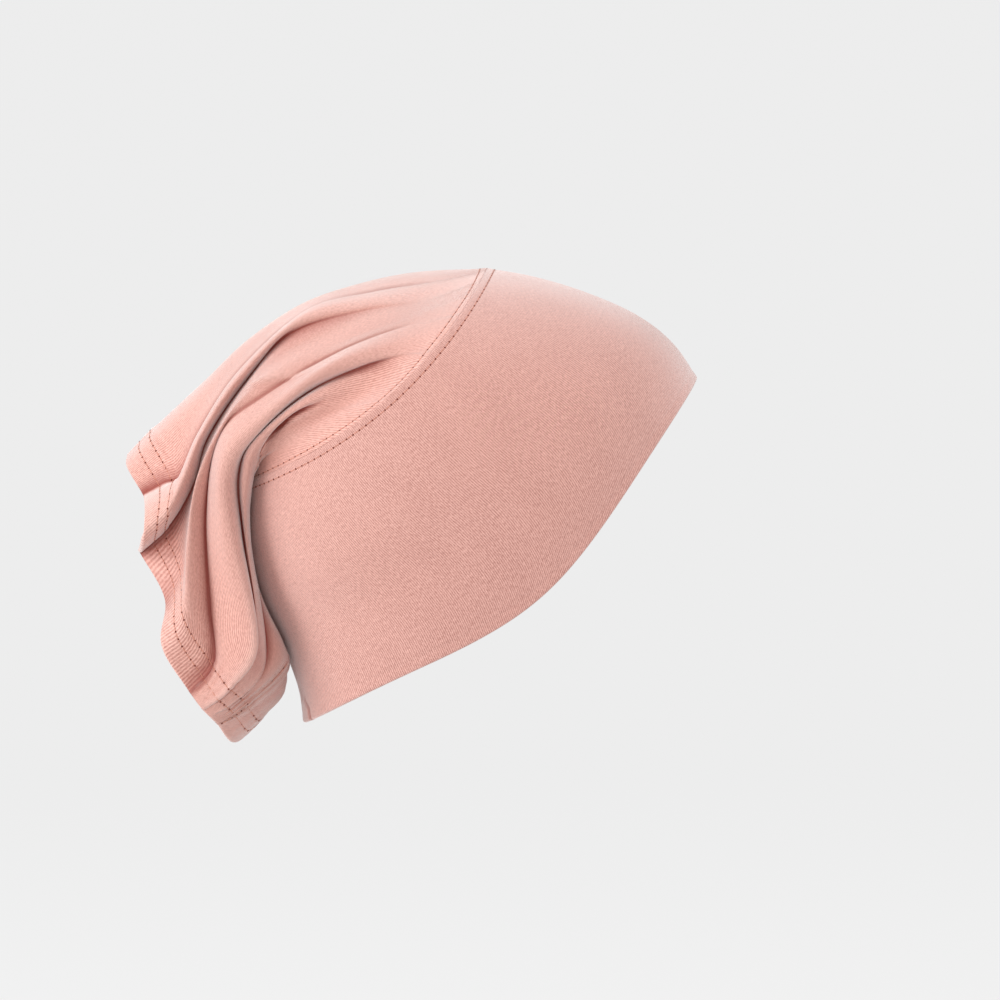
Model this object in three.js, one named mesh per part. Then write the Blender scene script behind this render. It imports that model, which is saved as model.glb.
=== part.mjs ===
// A jersey turban cap as it sits on a head: a doubled front band and a pleated back tube with a turned hem.
//
// Millimetres, +Z up. The wearer faces -Y and has the right hand at -X.
// The origin is the middle of the head opening, halfway between the forehead edge and the nape edge.
// Tables give places as forward (-Y), up (+Z) and side (-X, positive on the wearer's right).

import * as THREE from 'three';

// Cloth
const bandWall = 2.0;         // two layers of jersey, folded at the front edge
const tubeWall = 1.0;         // one layer
const hemWall = 1.8;          // one layer turned up and stitched flat
const seamGap = 0.3;          // free space between two sewn pieces
const bandLength = 100;       // front edge to seam, along the crown
const hemShare = 0.905;       // where the hem starts, as a share of the tube's length
const hemGapShare = 0.005;    // the same free space, as a share of the tube's length
const settleShare = 0.12;     // share of the tube over which it leaves the seam's own curve
const clothColour = 0xd6a599;
const clothRoughness = 0.95;

// Inside tight rolls
const leastSpacing = 0.12;    // of the outer face's spacing
const untanglePasses = 30;

// Fineness of the faceted walls
const bandColumns = 72;
const bandRows = 8;
const tubeRows = 22;
const hemRows = 2;

// Loops of the band, from the front edge (share 0) to the seam (share 1). Each is an oval between a top point
// and a low point, bent towards the face by belly, wider at the top by egg, and squared by squareness.
const loopColumns = ['share', 'topForward', 'topUp', 'lowForward', 'lowUp',
  'halfWidth', 'belly', 'egg', 'squareness'];
const bandLoops = [
  [0.00, 80.5, 70.5, -81.0, -70.5, 73.0, 24.0, 0.05, 2.25],
  [0.18, 70.5, 84.5, -83.0, -56.5, 75.5, 24.0, 0.03, 2.25],
  [0.38, 56.0, 96.0, -90.5, -37.0, 77.0, 24.0, 0.02, 2.25],
  [0.60, 33.5, 106.0, -101.0, -16.5, 77.0, 22.5, 0.00, 2.25],
  [0.80, 13.5, 112.0, -108.0, 4.5, 75.0, 21.0, 0.00, 2.20],
  [1.00, -5.5, 115.5, -111.0, 25.5, 70.5, 16.5, 0.00, 2.15],
];

// Lengthwise lines of the tube, from the crown (seam angle 0) down the right side to the underside (180).
// A roll stands proud between the two creases beside it. Each line starts on the seam and passes the stations.
// steps is the number of faces to the next line, on both flanks of a roll; sway moves the line on the left
// side, down the crown.
const stations = [0, 0.10, 0.24, 0.38, 0.52, 0.66, 0.79, 0.90, 1];
const foldColumns = ['name', 'kind', 'seamAngle', 'steps', 'sway', 'places'];
const foldLines = [
  ['crown', 'flat', 0, 2, 0, [[-25, 115, 0], [-51.5, 111, 0], [-79, 102, 0], [-103, 87, 0],
    [-121.5, 69.5, 0], [-135, 57, 0], [-144, 48.5, 0], [-153.5, 38.5, 0]]],
  ['top panel', 'flat', 7, 2, 1, [[-25, 113.5, 12], [-51.5, 109.5, 11.5], [-79.5, 101, 11],
    [-104, 83.5, 12], [-122.5, 63.5, 13.5], [-134.5, 51.5, 13], [-143, 43, 12.5], [-152.5, 34, 11.5]]],
  ['upper crease', 'crease', 14, 3, 2, [[-25.5, 109, 23], [-52, 104, 23], [-79.5, 96, 24],
    [-105.5, 72.3, 24.5], [-121.5, 47, 26], [-128.3, 29.5, 26], [-136, 27, 22], [-145, 22.5, 20]]],
  ['upper roll', 'roll', 20, 3, 3, [[-26, 106, 30], [-52, 102.5, 33], [-79.5, 95, 36], [-104.6, 71, 42.5],
    [-120.3, 46.7, 47], [-127.5, 29.5, 47], [-133, 18.5, 46], [-142.5, 9.5, 44]]],
  ['second crease', 'crease', 28, 3, 3, [[-28.5, 100.5, 39], [-54.5, 96.5, 39], [-84, 87.5, 37.5],
    [-102.5, 67.5, 37.5], [-117.5, 44.5, 40.5], [-122.5, 27.5, 38], [-132.5, 11.5, 30], [-146, -1, 23]]],
  ['panel edge', 'flat', 33, 3, 2, [[-29.5, 98, 42.5], [-56.5, 91.5, 43.5], [-87, 79.5, 43],
    [-103.5, 64, 44], [-117.5, 40, 45.5], [-124.5, 14.5, 43.5], [-127.5, -8.5, 40], [-135, -20, 33]]],
  ['panel', 'flat', 38, 3, 1, [[-31, 95, 46], [-59, 85, 49.5], [-87.5, 73, 50], [-107, 56.5, 50.5],
    [-121, 27.5, 49], [-124.5, -1.5, 48], [-126, -28, 47], [-135.5, -37.5, 45]]],
  ['third crease', 'crease', 48, 3, -1, [[-34, 90.5, 50], [-62.5, 80, 52.5], [-93.5, 62, 52.5],
    [-112, 46, 48.5], [-117.5, 14.5, 44], [-116, -22.5, 41], [-114.5, -45, 42], [-124, -57, 42]]],
  ['main roll', 'roll', 58, 3, -2, [[-38.5, 82.5, 57.5], [-68.5, 72.5, 60], [-95, 51.5, 59],
    [-109.5, 34, 57], [-109, 6.5, 54], [-102.5, -33, 50], [-111.5, -53, 46], [-121, -61, 43.5]]],
  ['fourth crease', 'crease', 66, 3, -2, [[-43, 77, 58.5], [-74, 64.5, 54.5], [-97, 45.5, 51.5],
    [-104, 31.5, 48], [-103, 7.5, 45], [-97.5, -39, 46], [-109.5, -56, 45], [-119, -63.5, 43]]],
  ['thin roll', 'roll', 76, 3, -1, [[-51, 65, 61], [-77.5, 59, 60], [-96.5, 43.5, 57], [-101, 31, 53.5],
    [-101, 6, 48.5], [-95.5, -42.5, 42], [-108, -58.5, 44], [-117.5, -65, 43]]],
  ['last crease', 'crease', 88, 3, 0, [[-62, 57, 61], [-83.5, 51.5, 56], [-93.5, 40.5, 52],
    [-98.5, 28.5, 46.5], [-100, 4.5, 40.5], [-94.5, -45, 38], [-107, -60, 42.5], [-116, -66.5, 42.5]]],
  ['side hug', 'flat', 112, 4, 0, [[-79.5, 44, 58.5], [-90, 41, 52], [-97.5, 33, 45.5], [-100.5, 20.5, 40],
    [-100, -6, 35], [-89.5, -43, 36], [-106, -61.5, 41], [-115, -67.5, 42]]],
  ['nape tuck', 'flat', 140, 4, 0, [[-101.5, 31, 38], [-107, 29.5, 32], [-110, 20.5, 28], [-108, 3.5, 26],
    [-93, -30.5, 24], [-86, -45.5, 31], [-104, -62.5, 39.5], [-114, -68.5, 41.5]]],
  ['underside', 'flat', 180, 4, 0, [[-114, 24, 0], [-117.5, 17, 0], [-118.5, 6, 0], [-112, -12.5, 0],
    [-91, -38.5, 8], [-86.5, -50, 27], [-102, -64, 37], [-113, -69.5, 41]]],
];

// The left side mirrors the right, but the free end is twisted to the right: there these lines run
// through other places at the last four stations.
const leftEnds = {
  'third crease': [[-121, 8, -42], [-119.5, -16.5, -42], [-122, -39, -40], [-132.5, -53.5, -36]],
  'main roll': [[-110.5, 0, -52], [-105.5, -25.5, -50], [-115, -48.5, -46], [-126.5, -60.5, -40]],
  'fourth crease': [[-106, -2.5, -43], [-100, -29.5, -37], [-108, -55, -32], [-117.5, -66.5, -24]],
  'thin roll': [[-104, -8, -40], [-95.5, -36, -30], [-101.5, -60, -20], [-109.5, -70.5, -12]],
  'last crease': [[-103, -14, -31], [-91, -45, -16], [-97, -64, -4], [-103.5, -71.5, 2]],
  'side hug': [[-100.5, -23, -18], [-88.5, -51.5, 0], [-96.5, -67, 12], [-103, -74, 18]],
  'nape tuck': [[-98, -33, -6], [-87.5, -56, 14], [-99, -69, 28], [-108, -77, 32]],
};

// Fullness of a roll's upper and lower flank: 2 makes it a half ellipse, more makes the flank stand steeper.
const rollPowers = { 'upper roll': [2.8, 2.2], 'main roll': [2.0, 2.8], 'thin roll': [2.6, 2.2] };
const slitShare = 0.2;        // how far a roll's flanks draw back from its creases, of its half width
const swayForward = 0.5;
const swayDown = 0.85;
const sameFacing = 0.3;       // above this cosine the tube's first edge leans with the band's
const slopeShare = 0.005;     // share and angle over which a surface's slope is taken
const slopeAngle = 1;

const named = (columns) => (row) => Object.fromEntries(columns.map((column, i) => [column, row[i]]));
const loops = bandLoops.map(named(loopColumns));
const folds = foldLines.map(named(foldColumns));

// Smooth interpolation of lists of numbers through knots, with weighted slopes at the inner knots.
function through(values, knots, at) {
  const last = knots.length - 1;
  let i = 0;
  while (i < last - 1 && at >= knots[i + 1]) i += 1;
  const slope = (k, c) => (values[k + 1][c] - values[k][c]) / (knots[k + 1] - knots[k]);
  const tangent = (k, c) => {
    if (k === 0) return slope(0, c);
    if (k === last) return slope(last - 1, c);
    const before = knots[k] - knots[k - 1];
    const after = knots[k + 1] - knots[k];
    return (slope(k - 1, c) * after + slope(k, c) * before) / (before + after);
  };
  const span = knots[i + 1] - knots[i];
  const s = (at - knots[i]) / span;
  const [s2, s3] = [s * s, s * s * s];
  return values[i].map((value, c) => (2 * s3 - 3 * s2 + 1) * value
    + (s3 - 2 * s2 + s) * span * tangent(i, c)
    + (3 * s2 - 2 * s3) * values[i + 1][c]
    + (s3 - s2) * span * tangent(i + 1, c));
}

const place = ([forward, up, side]) => new THREE.Vector3(-side, -forward, up);

// A point of the band: share from the front edge to the seam, angle in degrees from the crown to the right.
function bandPoint(share, angle) {
  const shares = loops.map((loop) => loop.share);
  const row = through(bandLoops.map((loop) => loop.slice(1)), shares, share);
  const loop = named(loopColumns.slice(1))(row);
  const middle = [(loop.topForward + loop.lowForward) / 2, (loop.topUp + loop.lowUp) / 2];
  const reach = [loop.topForward - middle[0], loop.topUp - middle[1]];
  const halfHeight = Math.hypot(...reach);
  const along = reach.map((part) => part / halfHeight);
  const across = [along[1], -along[0]];
  const turn = THREE.MathUtils.degToRad(angle);
  const [cos, sin] = [Math.cos(turn), Math.sin(turn)];
  const halfWidth = loop.halfWidth * (1 + loop.egg * cos);
  const power = loop.squareness;
  const radius = (Math.abs(cos / halfHeight) ** power + Math.abs(sin / halfWidth) ** power) ** (-1 / power);
  const lift = loop.belly * sin * sin;
  return place([
    middle[0] + radius * cos * along[0] + lift * across[0],
    middle[1] + radius * cos * along[1] + lift * across[1],
    radius * sin,
  ]);
}

// A lengthwise line at a share of the tube's length, on the right (side 1) or the left (side -1).
function linePoint(fold, share, side) {
  const seam = bandPoint(1, fold.seamAngle);
  const start = [-seam.y, seam.z, -seam.x];
  const right = [start, ...fold.places];
  if (side > 0 || fold.name === 'underside') return place(through(right, stations, share));
  const mirrored = right.map(([forward, up, across]) => [forward, up, -across]);
  const ends = leftEnds[fold.name] ?? [];
  const left = [...mirrored.slice(0, mirrored.length - ends.length), ...ends];
  const [forward, up, across] = through(left, stations, share);
  const sway = fold.sway * Math.sin(Math.PI * share);
  return place([forward + swayForward * sway, up - swayDown * sway, across]);
}

// A roll between two creases: crest + x (1 - slitShare profile) half + (profile - 1) proud, for x from -1
// to 1 and profile = (1 - |x|^power)^(1/power).
function rollSpan(before, crest, after, { name, steps }) {
  const half = after.clone().sub(before).multiplyScalar(0.5);
  const proud = crest.clone().sub(before).sub(half);
  return Array.from({ length: 2 * steps }, (_, k) => {
    const turn = (k / steps - 1) * Math.PI / 2;
    const power = rollPowers[name][turn < 0 ? 0 : 1];
    const x = Math.sign(turn) * Math.abs(Math.sin(turn)) ** (2 / power);
    const profile = Math.cos(turn) ** (2 / power);
    return crest.clone()
      .addScaledVector(half, x * (1 - slitShare * profile))
      .addScaledVector(proud, profile - 1);
  });
}

// A smooth stretch through the lines between two creases, with as many points as their steps ask for.
function flatSpan(points, steps) {
  const curve = new THREE.CatmullRomCurve3(points, false, 'centripetal');
  return steps.flatMap((count, i) => Array.from({ length: count },
    (_, k) => curve.getPoint((i + k / count) / steps.length)));
}

// One side of one loop of the tube, from the crown to just before the underside.
function sidePoints(share, side) {
  const points = folds.map((fold) => linePoint(fold, share, side));
  const loop = [];
  let first = 0;
  folds.forEach((fold, i) => {
    if (fold.kind === 'roll') {
      loop.push(...rollSpan(points[i - 1], points[i], points[i + 1], fold));
      first = i + 1;
    } else if (i > first && (fold.kind === 'crease' || i === folds.length - 1)) {
      loop.push(...flatSpan(points.slice(first, i + 1), folds.slice(first, i).map(({ steps }) => steps)));
      first = i;
    }
  });
  return loop;
}

// Seam angles of the same points, evenly shared out between the lines.
const sideAngles = folds.slice(0, -1).flatMap((fold, i) => {
  if (folds[i + 1].kind === 'roll') return [];
  const [from, to] = [fold.kind === 'roll' ? folds[i - 1] : fold, folds[i + 1]];
  const count = fold.kind === 'roll' ? 2 * fold.steps : fold.steps;
  return Array.from({ length: count },
    (_, k) => THREE.MathUtils.lerp(from.seamAngle, to.seamAngle, k / count));
});
const lastAngle = folds.at(-1).seamAngle;
const loopAngles = [...sideAngles, lastAngle, ...sideAngles.slice(1).reverse().map((angle) => 360 - angle)];

// One loop of the tube: down the right side from the crown, under, and up the left side.
function tubeLoop(share) {
  const underside = linePoint(folds.at(-1), share, 1);
  return [...sidePoints(share, 1), underside, ...sidePoints(share, -1).slice(1).reverse()];
}

// The tube's points at one share of its length. Near the seam they settle onto the seam's own curve.
const seamShift = tubeLoop(0).map((point, i) => bandPoint(1, loopAngles[i]).sub(point));
function tubePoints(share) {
  const pull = 1 - THREE.MathUtils.smoothstep(share, 0, settleShare);
  return tubeLoop(share).map((point, i) => point.addScaledVector(seamShift[i], pull));
}

function bandPoints(share) {
  return Array.from({ length: bandColumns }, (_, column) => bandPoint(share, 360 * column / bandColumns));
}

// The band's outward direction at the seam.
function bandDirection(angle) {
  const backwards = bandPoint(1, angle).sub(bandPoint(1 - slopeShare, angle));
  const sideways = bandPoint(1, angle + slopeAngle).sub(bandPoint(1, angle - slopeAngle));
  return backwards.cross(sideways).normalize();
}

// Outward directions at one loop: across the way backwards and the way round to the right.
function outward(pointsAt, share) {
  const before = pointsAt(Math.max(share - slopeShare, 0));
  const behind = pointsAt(Math.min(share + slopeShare, 1));
  const loop = pointsAt(share);
  return loop.map((_, j) => {
    const left = loop[(j + loop.length - 1) % loop.length];
    const right = loop[(j + 1) % loop.length];
    return behind[j].clone().sub(before[j]).cross(right.clone().sub(left)).normalize();
  });
}

// Rows of outer points and their outward directions between two shares of a piece's length.
function surface(pointsAt, from, to, rows) {
  const shares = Array.from({ length: rows + 1 }, (_, row) => THREE.MathUtils.lerp(from, to, row / rows));
  return {
    grid: shares.map((share) => pointsAt(share)),
    directions: shares.map((share) => outward(pointsAt, share)),
  };
}

// Inside a tight roll the inner face's columns would turn back on themselves. Each pass draws every such
// column to the middle of its neighbours, until they keep a small share of the outer face's spacing.
function untangle(inner, outer) {
  const edge = new THREE.Vector3();
  const count = inner.length;
  for (let pass = 0; pass < untanglePasses; pass += 1) {
    const turned = inner.map((point, j) => {
      const next = (j + 1) % count;
      edge.subVectors(outer[next], outer[j]);
      return inner[next].clone().sub(point).dot(edge) / edge.lengthSq() < leastSpacing;
    });
    inner.forEach((point, j) => {
      const before = (j + count - 1) % count;
      if (turned[j] || turned[before]) point.lerpVectors(inner[before], inner[(j + 1) % count], 0.5);
    });
  }
  return inner;
}

// A closed wall: the grid is its outer face, and its inner face lies one wall thickness inside.
function wallGeometry({ grid, directions }, wall) {
  const [rows, columns] = [grid.length, grid[0].length];
  const inner = grid.map((row, i) => untangle(
    row.map((point, j) => point.clone().addScaledVector(directions[i][j], -wall)),
    row,
  ));
  const positions = [...grid.flat(), ...inner.flat()].flatMap((point) => point.toArray());
  const outerAt = (i, j) => i * columns + (j % columns);
  const innerAt = (i, j) => rows * columns + outerAt(i, j);
  const faces = [];
  const quad = (a, b, c, d) => faces.push(a, b, c, a, c, d);
  for (let j = 0; j < columns; j += 1) {
    for (let i = 0; i < rows - 1; i += 1) {
      quad(outerAt(i, j), outerAt(i + 1, j), outerAt(i + 1, j + 1), outerAt(i, j + 1));
      quad(innerAt(i, j), innerAt(i, j + 1), innerAt(i + 1, j + 1), innerAt(i + 1, j));
    }
    quad(outerAt(0, j), outerAt(0, j + 1), innerAt(0, j + 1), innerAt(0, j));
    quad(outerAt(rows - 1, j), innerAt(rows - 1, j), innerAt(rows - 1, j + 1), outerAt(rows - 1, j + 1));
  }
  const geometry = new THREE.BufferGeometry();
  geometry.setAttribute('position', new THREE.Float32BufferAttribute(positions, 3));
  geometry.setIndex(faces);
  geometry.computeVertexNormals();
  return geometry;
}

function clothMesh(name, geometry) {
  const material = new THREE.MeshStandardMaterial({
    color: clothColour, roughness: clothRoughness, metalness: 0, flatShading: true,
  });
  const mesh = new THREE.Mesh(geometry, material);
  mesh.name = name;
  return mesh;
}

// The front band, doubled, from the front edge to the seam.
function frontBand() {
  const last = 1 - seamGap / bandLength;
  return clothMesh('front_band', wallGeometry(surface(bandPoints, 0, last, bandRows), bandWall));
}

// The back tube, from the seam to the hem. Its first edge leans with the band's, so the two stay apart.
function backTube() {
  const outer = surface(tubePoints, 0, hemShare - hemGapShare, tubeRows);
  outer.directions[0] = outer.directions[0].map((direction, j) => {
    const seamDirection = bandDirection(loopAngles[j]);
    return direction.dot(seamDirection) > sameFacing ? seamDirection : direction;
  });
  return clothMesh('back_tube', wallGeometry(outer, tubeWall));
}

// The tube's turned hem, at its open end.
function tailHem() {
  return clothMesh('tail_hem', wallGeometry(surface(tubePoints, hemShare, 1, hemRows), hemWall));
}

const cap = new THREE.Group();
cap.add(frontBand(), backTube(), tailHem());

export default cap;
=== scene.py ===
# %% [markdown]
# A stretch jersey turban cap, in the form that it has when worn
#
# The cap is sewn from two tubes of knitted jersey. The front band is doubled, and is worn stretched
# from the brow to the nape. The back tube is a single layer that falls behind in pleats and ends in a
# turned hem. Nothing in it is stiff, so this lesson is about giving thin cloth its drape in plain
# numbers, and about the small things that make it read as jersey: ribs, needle holes, puckers.

import bpy
import numpy as np
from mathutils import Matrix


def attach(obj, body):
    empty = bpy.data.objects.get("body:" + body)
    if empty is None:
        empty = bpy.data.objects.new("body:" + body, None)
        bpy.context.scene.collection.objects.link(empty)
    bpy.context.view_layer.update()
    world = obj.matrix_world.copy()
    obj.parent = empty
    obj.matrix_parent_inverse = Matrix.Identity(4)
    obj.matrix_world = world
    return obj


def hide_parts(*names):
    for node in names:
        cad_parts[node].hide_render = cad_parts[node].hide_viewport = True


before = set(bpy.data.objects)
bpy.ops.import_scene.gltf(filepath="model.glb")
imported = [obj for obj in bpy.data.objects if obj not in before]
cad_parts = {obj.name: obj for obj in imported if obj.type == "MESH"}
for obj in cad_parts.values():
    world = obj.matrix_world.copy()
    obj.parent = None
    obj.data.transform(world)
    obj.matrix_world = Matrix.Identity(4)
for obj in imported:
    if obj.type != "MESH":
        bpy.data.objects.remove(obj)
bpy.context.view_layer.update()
MM = 0.001
print("packed nodes:", sorted(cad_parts))

# %% [markdown]
# Smooth curves through measured places
#
# Cloth that is pulled lengthwise makes long calm lines, so each line of the drape is measured at a few
# stations and carried smoothly between them. A cubic Hermite curve does this well: at each knot its
# slope is the weighted mean of the slopes before and behind, so it keeps close to the places.


# %% Hermite curves and smooth steps
def through(values, knots, at):
    """At s of the way from one knot to the next, h apart, with values v, w and slopes m, n there:
    (2s^3 - 3s^2 + 1) v + (s^3 - 2s^2 + s) h m + (3s^2 - 2s^3) w + (s^3 - s^2) h n."""
    values, knots, at = np.asarray(values, float), np.asarray(knots, float), np.atleast_1d(at)
    step = np.diff(knots)
    spread = (-1,) + (1,) * (values.ndim - 1)
    slope = np.diff(values, axis=0) / step.reshape(spread)
    before, behind = step[:-1].reshape(spread), step[1:].reshape(spread)
    inner = (slope[:-1] * behind + slope[1:] * before) / (before + behind)
    tangent = np.concatenate([slope[:1], inner, slope[-1:]])
    i = np.clip(np.searchsorted(knots, at, side="right") - 1, 0, len(knots) - 2)
    s = ((at - knots[i]) / step[i]).reshape(spread)
    h = step[i].reshape(spread)
    return (
        (2 * s**3 - 3 * s**2 + 1) * values[i]
        + (s**3 - 2 * s**2 + s) * h * tangent[i]
        + (3 * s**2 - 2 * s**3) * values[i + 1]
        + (s**3 - s**2) * h * tangent[i + 1]
    )


def smooth(low, high, x):
    """0 below low, 1 above high, and 3s^2 - 2s^3 between."""
    s = np.clip((x - low) / (high - low), 0, 1)
    return s * s * (3 - 2 * s)


def bump(x, width):
    """A soft hill of height 1: e to the power of -(x/width)^2."""
    return np.exp(-((x / width) ** 2))


# %% [markdown]
# The front band's form
#
# The band is worn stretched, so its loops are plain ovals. Each is set between a top point and a low
# point in the cap's middle plane, a little squared, and its sides are bent forwards by its belly. A
# place is worked out from the share of the way from the front edge (0) to the seam (1), and the angle
# from the crown down the wearer's right side.

# %% Band loops
# share, top point forward and up, low point forward and up, half width, belly, egg, squareness
BAND_LOOPS = np.array([
    [0.00, 80.5, 70.5, -81.0, -70.5, 73.0, 24.0, 0.05, 2.25],
    [0.18, 70.5, 84.5, -83.0, -56.5, 75.5, 24.0, 0.03, 2.25],
    [0.38, 56.0, 96.0, -90.5, -37.0, 77.0, 24.0, 0.02, 2.25],
    [0.60, 33.5, 106.0, -101.0, -16.5, 77.0, 22.5, 0.00, 2.25],
    [0.80, 13.5, 112.0, -108.0, 4.5, 75.0, 21.0, 0.00, 2.20],
    [1.00, -5.5, 115.5, -111.0, 25.5, 70.5, 16.5, 0.00, 2.15],
])


def place(forward, up, side):
    """The point (-side, -forward, up): the wearer faces -Y and has the right hand at -X."""
    return np.stack([-side, -forward, up], axis=-1)


def band_points(share, degrees):
    """At angle a the oval's radius is (|cos a / half height|^n + |sin a / half width|^n)^(-1/n), where
    the half width is first made wider by its share egg cos a. The sides are then moved across the
    loop by belly sin^2 a."""
    share, degrees = np.broadcast_arrays(share, degrees)
    row = through(BAND_LOOPS[:, 1:], BAND_LOOPS[:, 0], share.ravel()).reshape(share.shape + (8,))
    top, low, half_width, belly, egg, power = (
        row[..., 0:2], row[..., 2:4], row[..., 4], row[..., 5], row[..., 6], row[..., 7])
    middle, reach = (top + low) / 2, (top - low) / 2
    half_height = np.linalg.norm(reach, axis=-1)
    along = reach / half_height[..., None]
    across = np.stack([along[..., 1], -along[..., 0]], axis=-1)
    cos, sin = np.cos(np.radians(degrees)), np.sin(np.radians(degrees))
    wide = half_width * (1 + egg * cos)
    radius = (np.abs(cos / half_height) ** power + np.abs(sin / wide) ** power) ** (-1 / power)
    flat = middle + (radius * cos)[..., None] * along + (belly * sin**2)[..., None] * across
    return place(flat[..., 0], flat[..., 1], radius * sin)


# %% [markdown]
# The back tube's fold lines
#
# From the seam the jersey runs back over the crown, turns down and is drawn together, so it lies in
# rolls with creases between them. Each line below follows one roll or crease from the seam to the open
# end. Real drape could be simulated, but then the rolls would fall where they like; measured lines put
# each one where the worn cap has it.

# %% Fold lines
STATIONS = np.array([0, 0.10, 0.24, 0.38, 0.52, 0.66, 0.79, 0.90, 1.0])
FOLD_COLUMNS = "name kind seamAngle sway places"
FOLD_LINES = [
    ["crown", "flat", 0, 0, [[-25, 115, 0], [-51.5, 111, 0], [-79, 102, 0], [-103, 87, 0],
        [-121.5, 69.5, 0], [-135, 57, 0], [-144, 48.5, 0], [-153.5, 38.5, 0]]],
    ["top panel", "flat", 7, 1, [[-25, 113.5, 12], [-51.5, 109.5, 11.5], [-79.5, 101, 11],
        [-104, 83.5, 12], [-122.5, 63.5, 13.5], [-134.5, 51.5, 13], [-143, 43, 12.5], [-152.5, 34, 11.5]]],
    ["upper crease", "crease", 14, 2, [[-25.5, 109, 23], [-52, 104, 23], [-79.5, 96, 24],
        [-105.5, 72.3, 24.5], [-121.5, 47, 26], [-128.3, 29.5, 26], [-136, 27, 22], [-145, 22.5, 20]]],
    ["upper roll", "roll", 20, 3, [[-26, 106, 30], [-52, 102.5, 33], [-79.5, 95, 36], [-104.6, 71, 42.5],
        [-120.3, 46.7, 47], [-127.5, 29.5, 47], [-133, 18.5, 46], [-142.5, 9.5, 44]]],
    ["second crease", "crease", 28, 3, [[-28.5, 100.5, 39], [-54.5, 96.5, 39], [-84, 87.5, 37.5],
        [-102.5, 67.5, 37.5], [-117.5, 44.5, 40.5], [-122.5, 27.5, 38], [-132.5, 11.5, 30],
        [-146, -1, 23]]],
    ["panel edge", "flat", 33, 2, [[-29.5, 98, 42.5], [-56.5, 91.5, 43.5], [-87, 79.5, 43],
        [-103.5, 64, 44], [-117.5, 40, 45.5], [-124.5, 14.5, 43.5], [-127.5, -8.5, 40], [-135, -20, 33]]],
    ["panel", "flat", 38, 1, [[-31, 95, 46], [-59, 85, 49.5], [-87.5, 73, 50], [-107, 56.5, 50.5],
        [-121, 27.5, 49], [-124.5, -1.5, 48], [-126, -28, 47], [-135.5, -37.5, 45]]],
    ["third crease", "crease", 48, -1, [[-34, 90.5, 50], [-62.5, 80, 52.5], [-93.5, 62, 52.5],
        [-112, 46, 48.5], [-117.5, 14.5, 44], [-116, -22.5, 41], [-114.5, -45, 42], [-124, -57, 42]]],
    ["main roll", "roll", 58, -2, [[-38.5, 82.5, 57.5], [-68.5, 72.5, 60], [-95, 51.5, 59],
        [-109.5, 34, 57], [-109, 6.5, 54], [-102.5, -33, 50], [-111.5, -53, 46], [-121, -61, 43.5]]],
    ["fourth crease", "crease", 66, -2, [[-43, 77, 58.5], [-74, 64.5, 54.5], [-97, 45.5, 51.5],
        [-104, 31.5, 48], [-103, 7.5, 45], [-97.5, -39, 46], [-109.5, -56, 45], [-119, -63.5, 43]]],
    ["thin roll", "roll", 76, -1, [[-51, 65, 61], [-77.5, 59, 60], [-96.5, 43.5, 57], [-101, 31, 53.5],
        [-101, 6, 48.5], [-95.5, -42.5, 42], [-108, -58.5, 44], [-117.5, -65, 43]]],
    ["last crease", "crease", 88, 0, [[-62, 57, 61], [-83.5, 51.5, 56], [-93.5, 40.5, 52],
        [-98.5, 28.5, 46.5], [-100, 4.5, 40.5], [-94.5, -45, 38], [-107, -60, 42.5], [-116, -66.5, 42.5]]],
    ["side hug", "flat", 112, 0, [[-79.5, 44, 58.5], [-90, 41, 52], [-97.5, 33, 45.5],
        [-100.5, 20.5, 40], [-100, -6, 35], [-89.5, -43, 36], [-106, -61.5, 41], [-115, -67.5, 42]]],
    ["nape tuck", "flat", 140, 0, [[-101.5, 31, 38], [-107, 29.5, 32], [-110, 20.5, 28], [-108, 3.5, 26],
        [-93, -30.5, 24], [-86, -45.5, 31], [-104, -62.5, 39.5], [-114, -68.5, 41.5]]],
    ["underside", "flat", 180, 0, [[-114, 24, 0], [-117.5, 17, 0], [-118.5, 6, 0], [-112, -12.5, 0],
        [-91, -38.5, 8], [-86.5, -50, 27], [-102, -64, 37], [-113, -69.5, 41]]],
]
LEFT_ENDS = {
    "third crease": [[-121, 8, -42], [-119.5, -16.5, -42], [-122, -39, -40], [-132.5, -53.5, -36]],
    "main roll": [[-110.5, 0, -52], [-105.5, -25.5, -50], [-115, -48.5, -46], [-126.5, -60.5, -40]],
    "fourth crease": [[-106, -2.5, -43], [-100, -29.5, -37], [-108, -55, -32], [-117.5, -66.5, -24]],
    "thin roll": [[-104, -8, -40], [-95.5, -36, -30], [-101.5, -60, -20], [-109.5, -70.5, -12]],
    "last crease": [[-103, -14, -31], [-91, -45, -16], [-97, -64, -4], [-103.5, -71.5, 2]],
    "side hug": [[-100.5, -23, -18], [-88.5, -51.5, 0], [-96.5, -67, 12], [-103, -74, 18]],
    "nape tuck": [[-98, -33, -6], [-87.5, -56, 14], [-99, -69, 28], [-108, -77, 32]],
}
SWAY_FORWARD, SWAY_DOWN = 0.5, 0.85
folds = [dict(zip(FOLD_COLUMNS.split(), line)) for line in FOLD_LINES]
print("fold lines on each side:", len(folds))


def fold_line(fold, shares, side):
    """Places along one line, as an array (share, 3). The left side mirrors the right, except that
    some of its lines have ends of their own."""
    seam = band_points(1.0, float(fold["seamAngle"]))
    start = np.array([-seam[1], seam[2], -seam[0]])
    table = np.vstack([start, fold["places"]])
    if side < 0 and fold["name"] != "underside":
        table[:, 2] *= -1
        ends = LEFT_ENDS.get(fold["name"])
        if ends:
            table[-len(ends):] = ends
    forward, up, across = through(table, STATIONS, shares).T
    sway = fold["sway"] * np.sin(np.pi * shares) * (side < 0)
    return place(forward + SWAY_FORWARD * sway, up - SWAY_DOWN * sway, across)


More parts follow.
